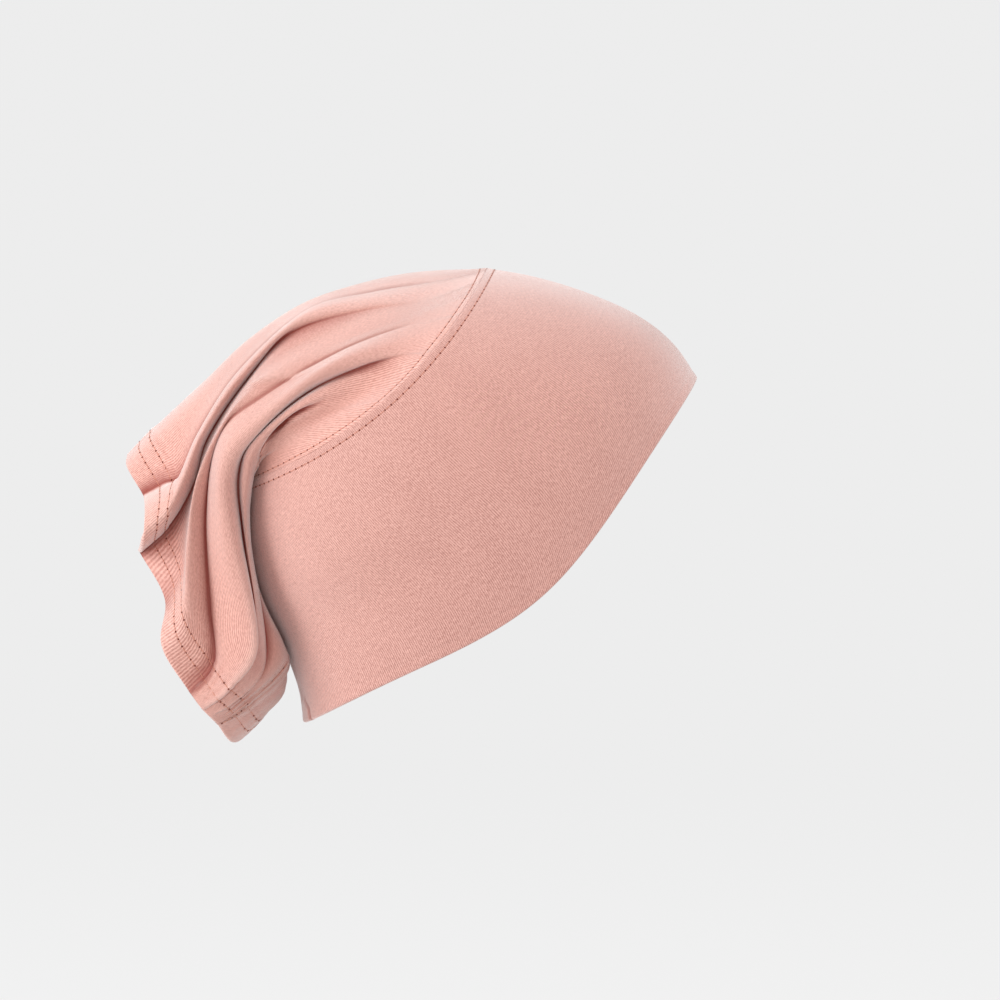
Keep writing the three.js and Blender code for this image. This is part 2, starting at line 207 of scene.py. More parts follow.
# %% [markdown]
# Loops of the tube
#
# Across the folds the section has two kinds of stretch. A roll is a raised half loop between two
# creases: with d half the way from crease to crease and h the crest's height over it, its points are
# crest + x (1 - slit profile(x)) d + (profile(x) - 1) h, for x from -1 to 1. A high power makes the
# profile full, so that the flanks stand steep, and the slit share draws them in a little and leaves the
# thin dark slit that pressed folds show. The rest is a smooth curve through its lines, with a corner
# where it meets a crease.

# %% Section of a loop
# the powers of each roll's two flanks, and its columns
ROLLS = {"upper roll": ((2.8, 2.2), 26), "main roll": ((2.0, 2.8), 34), "thin roll": ((2.6, 2.2), 26)}
SLIT_SHARE = 0.2
FLAT_COLUMNS, UNDER_COLUMNS = 9, 14


def roll_span(before, crest, after, powers, columns):
    """crest + x (1 - slit profile) half + (profile - 1) (crest - middle), profile = (1 - |x|^p)^(1/p)."""
    turn = np.linspace(-np.pi / 2, np.pi / 2, columns + 1)[:-1]
    power = np.where(turn < 0, *powers)
    x = np.sign(turn) * np.abs(np.sin(turn)) ** (2 / power)
    profile = np.abs(np.cos(turn)) ** (2 / power)
    half, height = (after - before) / 2, crest - (before + after) / 2
    sideways = (x * (1 - SLIT_SHARE * profile))[:, None] * half[:, None]
    inwards = (profile - 1)[:, None] * height[:, None]
    return crest[:, None] + sideways + inwards, (x + 1) / 2


def flat_span(lines, columns):
    """Catmull-Rom curve through the lines: Hermite spans, whose slope at each line comes from the two
    spans beside it, each weighed by the square root of its length. Its ends are corners."""
    points = np.stack(lines, axis=1)
    ends = [2 * points[:, :1] - points[:, 1:2], 2 * points[:, -1:] - points[:, -2:-1]]
    padded = np.concatenate([ends[0], points, ends[1]], axis=1)
    root = np.linalg.norm(np.diff(padded, axis=1), axis=-1, keepdims=True) ** 0.5 + 1e-6
    gap = np.diff(padded, axis=1)
    d0, d1, d2 = root[:, :-2], root[:, 1:-1], root[:, 2:]
    m1 = (gap[:, :-2] / d0 - (gap[:, :-2] + gap[:, 1:-1]) / (d0 + d1) + gap[:, 1:-1] / d1) * d1
    m2 = (gap[:, 1:-1] / d1 - (gap[:, 1:-1] + gap[:, 2:]) / (d1 + d2) + gap[:, 2:] / d2) * d1
    s = (np.arange(columns) / columns)[:, None]
    start, end = points[:, :-1, None], points[:, 1:, None]
    curve = (
        (2 * s**3 - 3 * s**2 + 1) * start + (s**3 - 2 * s**2 + s) * m1[:, :, None]
        + (3 * s**2 - 2 * s**3) * end + (s**3 - s**2) * m2[:, :, None]
    )
    return curve.reshape(len(points), -1, 3)


def half_loop(shares, side):
    """One side of the tube from the crown to the underside: points (share, column, 3) and seam angles."""
    lines = [fold_line(fold, shares, side) for fold in folds]
    angle = [float(fold["seamAngle"]) for fold in folds]
    kinds = [fold["kind"] for fold in folds]
    points, angles, first = [], [], 0
    for i in range(1, len(folds)):
        if kinds[i] == "roll":
            powers, columns = ROLLS[folds[i]["name"]]
            span, part = roll_span(*lines[i - 1:i + 2], powers, columns)
            points.append(span)
            angles.append(angle[i - 1] + part * (angle[i + 1] - angle[i - 1]))
            first = i + 1
        elif (kinds[i] == "crease" or i == len(folds) - 1) and i > first:
            columns = UNDER_COLUMNS if i == len(folds) - 1 else FLAT_COLUMNS
            points.append(flat_span(lines[first:i + 1], columns))
            part = np.arange(columns) / columns
            angles += [angle[j] + part * (angle[j + 1] - angle[j]) for j in range(first, i)]
            first = i
    points.append(lines[-1][:, None])
    angles.append(angle[-1:])
    return np.concatenate(points, axis=1), np.concatenate(angles)


# %% [markdown]
# Calm cloth beside the seam
#
# On the real cap most creases die out before they reach the seam, where the tube is sewn to the
# stretched band. So the loops are settled onto the seam's own curve, and beside it their small bends
# are filtered out. A brush could smooth them by hand, but a filter on the bends round each loop treats
# every crease alike and leaves the long forms where they are.

# %% Settling and calming
SETTLE_SHARE = 0.12
CALM_REACH, CALM_START = 6.0, 0.03
CALM_END, CALM_LONGER, CALM_FADE = 0.17, 0.15, 0.14
SIDE_FOLD_ANGLE, SIDE_FOLD_SPREAD = 88, 11


def along_line(line, way, at):
    """Places on a line at the distances named, by linear steps."""
    return np.stack([np.interp(at, way, line[:, axis]) for axis in range(3)], -1)


def softened(loops, reach, samples=1024):
    """Each loop with its small bends taken out: of each frequency f round the loop,
    e^(-(2 pi f reach)^2 / 2) is kept."""
    soft_loops = np.zeros_like(loops)
    for row, loop in enumerate(loops):
        closed = np.vstack([loop, loop[:1]])
        way = np.concatenate([[0], np.cumsum(np.linalg.norm(np.diff(closed, axis=0), axis=-1))])
        even = np.linspace(0, way[-1], samples, endpoint=False)
        frequency = np.fft.rfftfreq(samples, way[-1] / samples)
        kept = np.exp(-((2 * np.pi * frequency * reach) ** 2) / 2)[:, None]
        soft = np.fft.irfft(np.fft.rfft(along_line(closed, way, even), axis=0) * kept, samples, axis=0)
        soft_loops[row] = along_line(np.vstack([soft, soft[:1]]), np.append(even, way[-1]), way[:-1])
    return soft_loops


def tube_loops(shares):
    """Whole loops, right side down and left side up, settled onto the seam's own curve near the seam.
    Every crease fades out there, and the last crease of each side keeps calm for longer."""
    right, angle = half_loop(shares, 1)
    left, _ = half_loop(shares, -1)
    loops = np.concatenate([right, left[:, -2:0:-1]], axis=1)
    angles = np.concatenate([angle, 360 - angle[-2:0:-1]])
    shift = band_points(1.0, angles) - loops[0]
    loops = loops + (1 - smooth(0, SETTLE_SHARE, shares))[:, None, None] * shift
    from_side = np.abs(np.minimum(angles, 360 - angles) - SIDE_FOLD_ANGLE)
    calm_end = CALM_END + CALM_LONGER * bump(from_side, SIDE_FOLD_SPREAD)
    weight = smooth(0, CALM_START, shares)[:, None] * smooth(calm_end, calm_end - CALM_FADE, shares[:, None])
    return loops + weight[..., None] * (softened(loops, CALM_REACH) - loops), angles


# %% Loops of the tube
tube_shares = np.linspace(0, 1, 201)
tube_raw, tube_angles = tube_loops(tube_shares)
around = np.linalg.norm(np.roll(tube_raw, -1, axis=1) - tube_raw, axis=-1)
lengths = np.linalg.norm(np.diff(tube_raw, axis=0), axis=-1).sum(axis=0)
print("columns round the tube:", tube_raw.shape[1])
length_marks = [lengths.min(), lengths.mean(), lengths.max()]
print("shortest, mean and longest column mm:", np.round(length_marks))
print("loops mm at five places, seam to end:", around[[0, 60, 100, 140, 200]].sum(axis=1).round())

# %% [markdown]
# From a surface to sewn cloth
#
# A sewn piece is a thin closed shell. Its rows are placed by their distance from the seam and from the
# free edge, because stitches keep a fixed distance from one or the other and need fine rows of mesh.


# %% Rows at set distances
def rows_along(grid, from_start, share_rows, from_end):
    """Points at set distances from each end and evenly between, by linear steps along each column."""
    step = np.linalg.norm(np.diff(grid, axis=0), axis=-1)
    way = np.concatenate([np.zeros((1, grid.shape[1])), np.cumsum(step, axis=0)])
    total = way[-1]
    low, high = from_start[-1], from_end[0]
    middle = np.linspace(0, 1, share_rows + 2)[1:-1, None] * (total - low - high) + low
    ends = [np.repeat(from_start[:, None], len(total), 1), total - from_end[:, None]]
    target = np.concatenate([ends[0], middle, ends[1]])
    index = np.clip((way[None] <= target[:, None]).sum(axis=1) - 1, 0, len(way) - 2)
    columns = np.arange(grid.shape[1])
    start = way[index, columns]
    part = ((target - start) / (way[index + 1, columns] - start))[..., None]
    return grid[index, columns] * (1 - part) + grid[index + 1, columns] * part, target, total - target


def outward(grid):
    """Unit normals, the cross product of the steps along a column and round a loop."""
    along = np.gradient(grid, axis=0)
    across = np.roll(grid, -1, axis=1) - np.roll(grid, 1, axis=1)
    normal = np.cross(along, across)
    return normal / np.linalg.norm(normal, axis=-1, keepdims=True)


# %% Closed shells
def add_piece(name, points, faces):
    """A smoothly shaded mesh object from points in millimetres and its faces."""
    mesh = bpy.data.meshes.new(name)
    mesh.from_pydata((points * MM).tolist(), [], faces)
    mesh.polygons.foreach_set("use_smooth", np.ones(len(mesh.polygons), bool))
    piece = bpy.data.objects.new(name, mesh)
    bpy.context.scene.collection.objects.link(piece)
    print(name, "points", len(points), "faces", len(faces))
    return piece


def shell(name, outer, inner, u, v, around, tuck):
    """A closed shell from an outer and an inner grid that share their last row. It keeps the cloth's own
    u and v, and the tuck number by which the shader paints shade and highlight."""
    rows, columns = outer.shape[:2]
    points = np.concatenate([outer.reshape(-1, 3), inner[:-1].reshape(-1, 3)])
    i, j = np.mgrid[0:rows - 1, 0:columns]
    k, after = np.arange(columns), (j + 1) % columns
    out = np.arange(rows * columns).reshape(rows, columns)
    into = np.concatenate([rows * columns + out[:-1], out[-1:]])
    front = np.stack([out[i, j], out[i + 1, j], out[i + 1, after], out[i, after]], -1)
    back = np.stack([into[i, j], into[i, after], into[i + 1, after], into[i + 1, j]], -1)
    rim = np.stack([out[0, k], out[0, after[0]], into[0, after[0]], into[0, k]], -1)
    faces = np.concatenate([front.reshape(-1, 4), back.reshape(-1, 4), rim])
    piece = add_piece(name, points, faces.tolist())
    place_u = np.concatenate([u, u[:, :1] + around], axis=1)
    place_v = np.concatenate([v, v[:, :1]], axis=1)
    flat = np.stack([place_u, place_v], -1)
    outside = np.stack([flat[i + a, j + b] for a, b in ((0, 0), (1, 0), (1, 1), (0, 1))], axis=2)
    inside = np.stack([flat[i + a, j + b] for a, b in ((0, 0), (0, 1), (1, 1), (1, 0))], axis=2)
    edge = np.stack([flat[0, k + b] for b in (0, 1, 1, 0)], axis=1)
    layer = piece.data.uv_layers.new(name="cloth")
    corners = [part.reshape(-1, 2) for part in (outside, inside, edge)]
    layer.data.foreach_set("uv", (np.concatenate(corners) * MM).astype(np.float32).ravel())
    # The tuck attribute: painted shade above zero, painted highlight below zero.
    depth = piece.data.attributes.new("tuck", "FLOAT", "POINT")
    depth.data.foreach_set("value", np.concatenate([tuck.ravel(), tuck[:-1].ravel()]).astype(np.float32))
    return piece


def tucked(grid, normals, reach):
    """Millimetres that a place lies below its surroundings: (soft place - place) . normal."""
    return ((softened(grid, reach) - grid) * normals).sum(-1)


# %% [markdown]
# Puckers and wrinkles
#
# A row of stitches draws the cloth into a shallow channel, and the doubled cloth beside it puffs up a
# little. Calm stretched jersey still has faint waves. All are small moves of the surface along its
# normals, in millimetres, worked out from two distances on the cloth: u round the loop, v along it.

# %% Relief of stitches, waves and folds
PITCH = 3.2
SEAM_ROW = 3.1
SEAM_PUFF, PUFF_WIDTH = 0.05, 1.2
HEM_WIDTH, HEM_STEP = 16.5, 0.35
HEM_ROWS = (8.0, 14.3)


def channel(distance, depth=0.12, width=0.8):
    """The dent of a row: -depth e^-(distance/width)^2."""
    return -depth * bump(distance, width)


def waves(u, v, around, turns, count, size, seed, length=160.0):
    """A sum of count sines, sin(2 pi (n u / around + t v / length) + phase), each with n whole turns."""
    draw = np.random.default_rng(seed)
    whole = draw.integers(*turns, count)
    tilt, phase = draw.uniform(-1, 1, count), draw.uniform(0, 2 * np.pi, count)
    total = np.zeros_like(u)
    for n, t, start in zip(whole, tilt, phase):
        total += np.sin(2 * np.pi * (n * u / around + t * v / length) + start)
    return size * total / count**0.5


def seam_relief(from_seam):
    """The channel of the seam's stitches, and the puff between it and the seam."""
    return channel(from_seam - SEAM_ROW) + SEAM_PUFF * bump(from_seam - SEAM_ROW / 2, PUFF_WIDTH)


def edge_round(distance, radius):
    """How far a folded edge has turned in: r - sqrt(r^2 - (r - distance)^2) within r of the edge."""
    inside = np.clip(radius - distance, 0, radius)
    return radius - np.sqrt(radius**2 - inside**2)


# %% [markdown]
# The back tube's grid
#
# One layer of jersey from the seam to the edge. Its hem is turned inside and held by two rows of
# stitches, so the wall is twice as thick there, and the cloth between the rows ripples. A single grid
# could be thickened with a Solidify modifier, but then the hem's step would need a second piece.
# Offsetting the grid by numbers gives both walls and the folded edge at once.

# %% Grid of the tube
TUBE_WALL, HEM_WALL, EDGE_ROUND = 0.9, 2.0, 1.0
TUBE_ROUND = 453.0
# the mesh's rows beside the seam, round the folded edge and beside the hem, in mm
near_seam = np.concatenate([np.arange(0, 8, 0.55), [9.0, 11.0]])
fold_over = np.array([1.0, 0.75, 0.5, 0.28, 0.1, 0.0])
near_edge = np.concatenate([[24.0, 21.0, 19.0, 18.0, 17.2, 16.6], np.arange(16, 1.2, -0.62), fold_over])
tube_grid, tube_from_seam, tube_from_edge = rows_along(tube_raw, near_seam, 66, near_edge)
column_u = np.concatenate([[0], np.cumsum(around[:-20].mean(axis=0))])
column_u = column_u[:-1] * TUBE_ROUND / column_u[-1]
under = int(np.argmin(np.abs(tube_angles - 180)))
tube_u = np.repeat(column_u[None], len(tube_grid), axis=0)
tube_normals = outward(tube_grid)

relief = seam_relief(tube_from_seam)
for row in HEM_ROWS:
    relief += channel(tube_from_edge - row)
relief += HEM_STEP * smooth(HEM_WIDTH + 1.5, HEM_WIDTH - 1, tube_from_edge)
between_rows = smooth(2, 5, tube_from_edge) * smooth(HEM_WIDTH + 5, HEM_WIDTH - 2, tube_from_edge)
hem_ripple = waves(tube_u, tube_from_edge, TUBE_ROUND, turns=(38, 80), count=10, size=0.14, seed=11,
                   length=30.0)
relief += between_rows * hem_ripple

# %% [markdown]
# Small folds and the lengthwise seam
#
# Where the last roll is pinched, the cloth sinks into a pocket with a bulb at its end, and one shallow
# fold runs slantwise over the panel. They are too small for fold lines, so each is a hill or a dent
# round a line on the cloth, which is given by its distance u round the loop at places from the seam.
# The seam that closes the tube lies in a groove, and near the hem it wanders to the wearer's right.

# %% Small folds
POCKET_LINE = ([34, 47, 60], [143, 148.5, 150])
POCKET_DEPTH, POCKET_WIDTH = 3.2, 2.4
BULB_HEIGHT, BULB_U, BULB_SLIT_U = 1.8, 150.8, 153.4
FOLD_LINE = ([61, 71, 80, 90, 98], [112, 101.8, 94.1, 87.6, 82])
FOLD_HEIGHT, FOLD_SLANT, FOLD_FLANK = 0.8, 0.77, 4.5
SEAM_LINE = ([2, 11, 33, 46, 90], [209, 194, 188, 190, column_u[under]])
SEAM_DEPTH, SEAM_WIDTH = 0.6, 0.9
pocket_run = smooth(30, 44, tube_from_seam) * smooth(64, 56, tube_from_seam)
pocket = bump(tube_u - np.interp(tube_from_seam, *POCKET_LINE), POCKET_WIDTH) * pocket_run
relief -= POCKET_DEPTH * pocket
bulb_run = smooth(50, 54, tube_from_seam) * smooth(65, 61, tube_from_seam)
bulb_slit = bulb_run * bump(tube_u - BULB_SLIT_U, 1.0)
relief += BULB_HEIGHT * (bulb_run * bump(tube_u - BULB_U, 1.1) - bulb_slit)
fold_side = FOLD_SLANT * (np.interp(tube_from_seam, *FOLD_LINE) - tube_u)
fold_run = smooth(57, 74, tube_from_seam) * smooth(103, 94, tube_from_seam)
fold_form = smooth(-1.0, 0.3, fold_side) * np.exp(-np.maximum(fold_side, 0) / FOLD_FLANK)
relief += FOLD_HEIGHT * fold_run * fold_form
calm = smooth(6, 25, tube_from_seam) * smooth(2, 12, tube_from_edge)
relief += calm * waves(tube_u, tube_from_seam, TUBE_ROUND, turns=(3, 24), count=14, size=0.22, seed=7)
seam_u = np.interp(tube_from_edge, *SEAM_LINE)
relief += channel(tube_u - seam_u, SEAM_DEPTH, SEAM_WIDTH) * smooth(0, 6, tube_from_seam)
print("relief of the tube mm:", relief.min().round(2), "to", relief.max().round(2))

# %% [markdown]
# The tube's walls, and where shade and highlight are painted on them
#
# Both walls are the grid moved along its normals. Light that bounces between two pink walls comes out
# redder, and a slit in the cloth looks red and not grey. That red is painted: each point keeps a number
# that says how deep it lies below its softened surroundings, or, below zero, how far it stands above
# them, and the shader paints shade in the hollows, slits, pocket and tail seam and a faint highlight on the
# crests.

# %% Walls of the tube
HOLLOW_REACH, HOLLOW_DEPTH = 5.0, 1.1
CREST_REACH, CREST_HEIGHT = 2.4, 0.6
SLIT_LEAN = (0.5, 0.05)
POCKET_SHADE, SEAM_SHADE = 0.7, 0.8
TAIL_SEAM_END = 46.0
turned_in = edge_round(tube_from_edge, EDGE_ROUND)
wall = TUBE_WALL + (HEM_WALL - TUBE_WALL) * smooth(HEM_WIDTH + 0.4, HEM_WIDTH - 0.4, tube_from_edge)
tube_outer = tube_grid + (relief - turned_in)[..., None] * tube_normals
tube_inner = tube_grid + (relief - wall + turned_in)[..., None] * tube_normals
tube_outer[-1] = tube_inner[-1] = (tube_outer[-1] + tube_inner[-1]) / 2
# Painted shade: the hollows, the steep walls of slits, the pocket and the bulb's slit.
lean = (outward(tube_outer) * outward(softened(tube_outer, HOLLOW_REACH))).sum(-1)
painted_shade_share = np.clip(tucked(tube_outer, tube_normals, HOLLOW_REACH) / HOLLOW_DEPTH, 0, 1)
painted_shade_share = np.maximum(painted_shade_share, smooth(*SLIT_LEAN, lean))
painted_shade_share = np.clip(painted_shade_share + POCKET_SHADE * pocket + bulb_slit, 0, 1)
# Painted highlight on the crests.
painted_highlight_share = np.clip(-tucked(tube_outer, tube_normals, CREST_REACH) / CREST_HEIGHT, 0, 1)
# Painted shade along the groove of the tail's seam, carried into the tuck number.
seam_run = smooth(TAIL_SEAM_END + 6, TAIL_SEAM_END, tube_from_edge)
seam_shade = SEAM_SHADE * bump(tube_u - seam_u, 1.0) * seam_run
tube_painted_light = np.maximum(painted_shade_share, seam_shade) - painted_highlight_share
print("share of the tube in hollows and on crests:", (painted_shade_share > 0.5).mean().round(3),
      (painted_highlight_share > 0.5).mean().round(3))
back_cloth = shell("back_cloth", tube_outer, tube_inner, tube_u, tube_from_seam, TUBE_ROUND, tube_painted_light)

# %% [markdown]
# The front band
#
# The band is doubled, so its front edge is a soft fold and its wall is twice as thick. It is worn
# stretched, which keeps it smooth. A seam closes it at the middle of the nape. That seam lies in a
# groove with a darker line of painted shade along it, and near the edge it wanders a little to the
# wearer's right. The band could be cut from a sphere and bent with a Lattice, but its loops are already
# there in millimetres, so its two walls are offset from them, as the tube's are.

# %% Front band
BAND_WALL, RIM_ROUND = 2.0, 1.0
BAND_ROUND, BAND_COLUMNS = 560.0, 420
RIM_LINE = 4.2
NAPE_TURN, NAPE_WANDER = 13.0, 22.0
NAPE_DEPTH, NAPE_SHADE = 0.55, 0.75
band_shares = np.linspace(1, 0, 161)
even_turn = np.linspace(0, 360, 721)
middle_loop = band_points(0.5, even_turn)
middle_way = np.concatenate([[0], np.cumsum(np.linalg.norm(np.diff(middle_loop, axis=0), axis=-1))])
even_way = np.arange(BAND_COLUMNS) / BAND_COLUMNS
band_degrees = np.interp(even_way * middle_way[-1], middle_way, even_turn)
band_raw = band_points(band_shares[:, None], band_degrees[None])
near_rim = np.concatenate([[14.0, 11.0, 8.5, 7.0], np.arange(6.0, 1.2, -0.6), fold_over])
band_grid, band_from_seam, band_from_edge = rows_along(band_raw, near_seam, 52, near_rim)
band_u = np.repeat((even_way * BAND_ROUND)[None], len(band_grid), axis=0)
band_normals = -outward(band_grid)

nape_degrees = 180 - NAPE_TURN * smooth(NAPE_WANDER, 4, band_from_edge)
nape_u = np.interp(nape_degrees, band_degrees, even_way * BAND_ROUND)
band_relief = seam_relief(band_from_seam) + channel(band_from_edge - RIM_LINE)
band_relief += channel(band_u - nape_u, NAPE_DEPTH)
band_relief += waves(band_u, band_from_edge, BAND_ROUND, turns=(2, 14), count=10, size=0.12, seed=5)
rim_in = edge_round(band_from_edge, RIM_ROUND)
band_outer = band_grid + (band_relief - rim_in)[..., None] * band_normals
band_inner = band_grid + (band_relief - BAND_WALL + rim_in)[..., None] * band_normals
# Painted shade along the groove of the nape seam.
band_painted_shade = NAPE_SHADE * bump(band_u - nape_u, 1.1) * smooth(40, 4, band_from_edge)
front_cloth = shell("front_cloth", band_outer, band_inner, band_u, -band_from_seam, BAND_ROUND, band_painted_shade)
front_cloth.data.flip_normals()

# %% [markdown]
# Stitches
#
# The twin needles leave a thread that dips into the cloth at every hole. A printed line would look
# flat, so each stitch is a small six-sided thread, thin at its sunk ends, and each needle hole has a
# dark plug: the shade inside the hole, which is what the eye picks out from afar.


# %% Rows of thread
def stitch_frames(line, normals, pitch, closed):
    """Middles of the stitches with their unit directions ahead, up and beside."""
    if closed:
        line, normals = np.vstack([line, line[:1]]), np.vstack([normals, normals[:1]])
    way = np.concatenate([[0], np.cumsum(np.linalg.norm(np.diff(line, axis=0), axis=-1))])
    count = int(round(way[-1] / pitch))
    centre = (np.arange(count) + 0.5) * way[-1] / count
    half = 0.5 * way[-1] / count
    ahead = along_line(line, way, centre + 0.8 * half) - along_line(line, way, centre - 0.8 * half)
    ahead /= np.linalg.norm(ahead, axis=-1, keepdims=True)
    up = along_line(normals, way, centre)
    up -= (up * ahead).sum(-1, keepdims=True) * ahead
    up /= np.linalg.norm(up, axis=-1, keepdims=True)
    return along_line(line, way, centre), ahead, up, np.cross(ahead, up), half


THREAD_RADIUS, THREAD_BOW, THREAD_SINK = 0.12, 0.14, 0.06
# The dark plug in each needle hole is painted shade.
HOLE_RADIUS, HOLE_RIM, HOLE_TOP, HOLE_DEPTH = 0.42, 0.02, 0.1, 0.5
# along the thread and its share of the full radius
THREAD_ENDS = np.array([[-0.92, 0.3], [-0.75, 0.85], [-0.3, 1.0], [0.3, 1.0], [0.75, 0.85], [0.92, 0.3]])
RING = np.arange(6) * np.pi / 3


def threads_and_holes(line, normals, pitch, closed=True):
    """Six-sided threads that rise by bow (1 - x^2) - sink between their holes, and a double cone in
    each hole."""
    middle, ahead, up, beside, half = stitch_frames(line, normals, pitch, closed)
    rise = THREAD_BOW * (1 - THREAD_ENDS[:, 0] ** 2) - THREAD_SINK
    spine = middle[:, None] + THREAD_ENDS[None, :, :1] * half * ahead[:, None]
    spine = spine + rise[None, :, None] * up[:, None]
    spoke = np.cos(RING)[:, None] * beside[:, None, None] + np.sin(RING)[:, None] * up[:, None, None]
    tube = spine[:, :, None] + THREAD_RADIUS * THREAD_ENDS[None, :, 1, None, None] * spoke
    index = np.arange(tube[..., 0].size).reshape(tube.shape[:3])
    after = np.roll(index, -1, axis=2)
    sides = np.stack([index[:, :-1], index[:, 1:], after[:, 1:], after[:, :-1]], -1).reshape(-1, 4)
    faces = sides.tolist() + index[:, 0].tolist() + index[:, -1, ::-1].tolist()
    hole = middle + half * ahead
    flat_spoke = np.cos(RING)[:, None] * ahead[:, None] + np.sin(RING)[:, None] * beside[:, None]
    rims = hole[:, None] + HOLE_RADIUS * flat_spoke + HOLE_RIM * up[:, None]
    tips = [(hole + HOLE_TOP * up)[:, None], (hole - HOLE_DEPTH * up)[:, None]]
    cones = np.concatenate([rims, *tips], axis=1)
    base = index.size + np.arange(len(hole))[:, None] * 8
    k, after_k = np.arange(6), (np.arange(6) + 1) % 6
    top = np.stack([base + k, base + after_k, np.broadcast_to(base + 6, (len(hole), 6))], -1)
    low = np.stack([base + after_k, base + k, np.broadcast_to(base + 7, (len(hole), 6))], -1)
    plugs = np.concatenate([top, low]).reshape(-1, 3).tolist()
    return np.concatenate([tube.reshape(-1, 3), cones.reshape(-1, 3)]), faces, plugs


def sew(name, rows):
    """One piece from several rows; its second finish is the painted shade in the holes."""
    points, faces, plugs, offset = [], [], [], 0
    for row in rows:
        new_points, new_faces, new_plugs = threads_and_holes(*row)
        points.append(new_points)
        faces += [[corner + offset for corner in face] for face in new_faces]
        plugs += [[corner + offset for corner in face] for face in new_plugs]
        offset += len(new_points)
    piece = add_piece(name, np.concatenate(points), faces + plugs)
    finish = np.concatenate([np.zeros(len(faces), int), np.ones(len(plugs), int)])
    piece.data.polygons.foreach_set("material_index", finish)
    return piece


# %% Lines on a cloth
def cloth_row(outer, normals, distance, at):
    """The line on a cloth at a set distance, between the two rows beside it."""
    level = distance.mean(axis=1)
    order = np.argsort(level)
    weight = np.interp(at, level[order], order.astype(float))
    low = int(np.floor(weight))
    part, high = weight - low, min(low + 1, len(level) - 1)
    return outer[low] * (1 - part) + outer[high] * part, normals[low] * (1 - part) + normals[high] * part


def crossing_row(outer, normals, u, rows, places):
    """The line that crosses the given rows of a cloth, each at its own place round the loop."""
    columns = np.arange(u.shape[1])
    position = np.array([np.interp(place_u, u[row], columns) for row, place_u in zip(rows, places)])
    low = np.floor(position).astype(int)
    part, high = (position - low)[:, None], (low + 1) % u.shape[1]
    line = outer[rows, low] * (1 - part) + outer[rows, high] * part
    return line, normals[rows, low] * (1 - part) + normals[rows, high] * part


# %% Sewing
TACK_END, TACK_SIDE, EDGE_FREE, SEAM_PITCH = 14.0, 8.0, 1.6, 2.3


def tail_row(reach, side):
    """Stitches along the tail's seam from the edge to a reach, at a distance beside it."""
    from_edge = tube_from_edge.mean(axis=1)
    rows = np.nonzero((from_edge < reach) & (from_edge > EDGE_FREE))[0]
    line = crossing_row(tube_outer, tube_normals, tube_u, rows, seam_u[rows, 0] + side)
    return (*line, SEAM_PITCH, False)


seam_stitches = sew("seam_stitches", [
    (*cloth_row(tube_outer, tube_normals, tube_from_seam, SEAM_ROW), PITCH),
    (*cloth_row(band_outer, band_normals, band_from_seam, SEAM_ROW), PITCH),
])
hem_stitches = sew("hem_stitches", [
    (*cloth_row(tube_outer, tube_normals, tube_from_edge, row), PITCH) for row in HEM_ROWS
] + [tail_row(TAIL_SEAM_END, 0), tail_row(TACK_END, TACK_SIDE)])

# %% [markdown]
# Jersey
#
# Jersey is knitted in fine ribs that run along the cloth, with mottled yarn and a soft bloom of fibres
# that catches light at a slant. The ribs and mottle follow the cloth's own measure, kept in its UV
# layer in metres, so they bend with every fold. The bloom is the shader's sheen. The tuck number of
# each point paints shade into hollows and slits, as a deep red that stands for light bounced between
# pink walls, and takes their bloom away; below zero it paints a faint highlight on the crests. An
# image of cloth would bring its own light and blur close up, so the shader draws the knit itself.


# %% Helpers for shader nodes
def linear(r, g, b):
    """Linear light from 0 to 255 screen values: ((c + 0.055) / 1.055)^2.4 for all but the darkest."""
    c = np.array([r, g, b]) / 255
    return tuple(np.where(c <= 0.04045, c / 12.92, ((c + 0.055) / 1.055) ** 2.4))


def maths(tree, operation, *values):
    """A Math node on numbers or sockets."""
    node = tree.nodes.new("ShaderNodeMath")
    node.operation = operation
    for socket, value in zip(node.inputs, values):
        if isinstance(value, (int, float)):
            socket.default_value = value
        else:
            tree.links.new(value, socket)
    return node.outputs[0]


def scaled(tree, value, factor):
    """The value times a factor."""
    return maths(tree, "MULTIPLY", value, factor)


def clamped(tree, value):
    """The value kept between 0 and 1."""
    return maths(tree, "MINIMUM", maths(tree, "MAXIMUM", value, 0.0), 1.0)


def mixed(tree, share, colour, other):
    """The colour, as numbers or a socket, changed to the other one by a share."""
    blend = tree.nodes.new("ShaderNodeMix")
    blend.data_type = "RGBA"
    tree.links.new(share, blend.inputs["Factor"])
    if isinstance(colour, tuple):
        blend.inputs["A"].default_value = (*colour, 1)
    else:
        tree.links.new(colour, blend.inputs["A"])
    blend.inputs["B"].default_value = (*other, 1)
    return blend.outputs["Result"]


def cloth_noise(tree, u, v, wide, long, detail):
    """Noise with patches of about wide by long millimetres on the cloth, from -1 to 1."""
    place_node = tree.nodes.new("ShaderNodeCombineXYZ")
    tree.links.new(scaled(tree, u, 1 / (wide * MM)), place_node.inputs[0])
    tree.links.new(scaled(tree, v, 1 / (long * MM)), place_node.inputs[1])
    noise = tree.nodes.new("ShaderNodeTexNoise")
    noise.inputs["Scale"].default_value = 1.0
    noise.inputs["Detail"].default_value = detail
    tree.links.new(place_node.outputs[0], noise.inputs["Vector"])
    return scaled(tree, maths(tree, "SUBTRACT", noise.outputs["Fac"], 0.5), 2.0)


# %% Jersey finish
RIB, COURSE = 0.86, 0.7
RIB_SHARE, COURSE_SHARE = 0.42, 0.05
FIBRE_SHARE, FLECK_SHARE, CLOUD_SHARE = 0.85, 0.3, 0.12
# Painted shade: the deep red that hollows and slits are turned towards.
PAINTED_SHADE_RED, PAINTED_SHADE_BLEND = (140, 48, 34), 0.95
